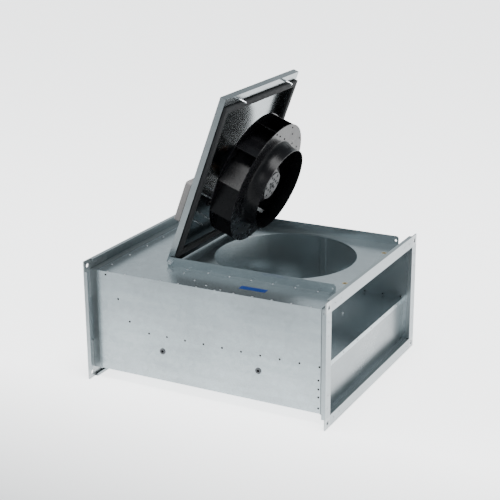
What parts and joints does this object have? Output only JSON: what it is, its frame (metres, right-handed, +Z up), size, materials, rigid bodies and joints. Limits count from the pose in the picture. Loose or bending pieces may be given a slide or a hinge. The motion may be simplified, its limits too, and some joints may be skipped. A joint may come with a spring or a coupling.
{
  "type": "inline duct fan",
  "caption": "Rectangular inline duct fan in galvanised sheet, with slide-on flanges at both ends and a hinged motor lid carrying a backward-curved centrifugal impeller.",
  "frame": {"origin": "middle of the footprint, level with the lower edges of the end flanges", "axes": "+X along the air flow from inlet to outlet, +Y to the back across the duct, +Z up"},
  "size_m": [0.7602, 0.664, 0.8407],
  "materials": {
    "galvanised_sheet": "satin galvanised sheet with a faint spangle",
    "lid_sheet": "satin galvanised sheet",
    "flange_steel": "rolled galvanised strip, satin",
    "corner_steel": "pressed galvanised plate, satin",
    "zinc_fixings": "bright zinc plated",
    "insert_steel": "dull threaded insert",
    "wheel_rivets": "black coated rivet",
    "rivet_metal": "plain aluminium rivets",
    "black_wheel": "satin black powder coat",
    "foam": "matte closed-cell foam",
    "pale_plastic": "fine matte light grey",
    "dark_plastic": "matte black",
    "motor_aluminium": "cast, satin",
    "motor_paint": "satin black",
    "lamination": "stacked dark sheet steel",
    "copper": "varnished copper winding",
    "bearing_steel": "ground and polished",
    "label_blue": "plain blue film",
    "label_white": "plain white film",
    "dark_rivets": "oxidised steel rivets",
    "yellow_zinc": "yellow passivated zinc",
    "rubber_black": "matte"
  },
  "bodies": {
    "casing": {"side_panel_front": "galvanised_sheet", "side_panel_back": "galvanised_sheet", "lid_rail_front": "galvanised_sheet", "lid_rail_back": "galvanised_sheet", "side_rivets": "dark_rivets", "pivot_bolts": "zinc_fixings", "top_panel": "galvanised_sheet", "bottom_panel": "galvanised_sheet", "inlet_slope_plate": "galvanised_sheet", "shelf_plate": "galvanised_sheet", "blanking_plate": "galvanised_sheet", "scroll_wall": "galvanised_sheet", "inlet_cone": "galvanised_sheet", "inlet_rail_top": "flange_steel", "inlet_rail_bottom": "flange_steel", "inlet_rail_front": "flange_steel", "inlet_rail_back": "flange_steel", "inlet_corner_pieces": "corner_steel", "outlet_rail_top": "flange_steel", "outlet_rail_bottom": "flange_steel", "outlet_rail_front": "flange_steel", "outlet_rail_back": "flange_steel", "outlet_corner_pieces": "corner_steel", "flange_rivets": "rivet_metal", "seam_rivets": "rivet_metal", "scroll_rivets": "rivet_metal", "plate_rivets": "rivet_metal", "inlet_cone_screws": "zinc_fixings", "suspension_inserts": "insert_steel", "lid_screw_nuts": "yellow_zinc", "lid_rail_rivets": "rivet_metal", "pivot_spacers": "zinc_fixings", "pivot_nuts": "zinc_fixings", "blue_label": "label_blue"},
    "lid": {"lid_tray": "lid_sheet", "lid_gasket": "foam", "lid_screws": "zinc_fixings", "terminal_box_base": "pale_plastic", "terminal_box_seal": "rubber_black", "terminal_box_cover": "pale_plastic", "terminal_cover_screws": "zinc_fixings", "box_fixing_screws": "zinc_fixings", "terminal_strip": "dark_plastic", "cable_gland": "dark_plastic", "gland_nut": "dark_plastic", "lead_grommet": "rubber_black", "motor_flange": "motor_aluminium", "motor_screws": "zinc_fixings", "stator_pack": "lamination", "stator_windings": "copper", "bearings": "bearing_steel"},
    "rotor": {"rotor_shaft": "bearing_steel", "rotor_can": "motor_paint", "rotor_cap": "motor_aluminium", "wheel_label": "label_white", "hub_screws": "zinc_fixings", "impeller_back_plate": "black_wheel", "impeller_shroud": "black_wheel", "impeller_blades": "black_wheel", "blade_rivets": "wheel_rivets"}
  },
  "joints": [
    {"name": "lid_hinge", "type": "hinge", "parent": "casing", "child": "lid", "pos_m": [-0.181, 0.0575, 0.3465], "axis": [0, -1, 0], "range_deg": [-69.7, 33]},
    {"name": "impeller_spin", "type": "hinge", "parent": "lid", "child": "rotor", "pos_m": [-0.01785, 0.0575, 0.55697], "axis": [-0.9379, 0, 0.3469], "continuous": true}
  ]
}
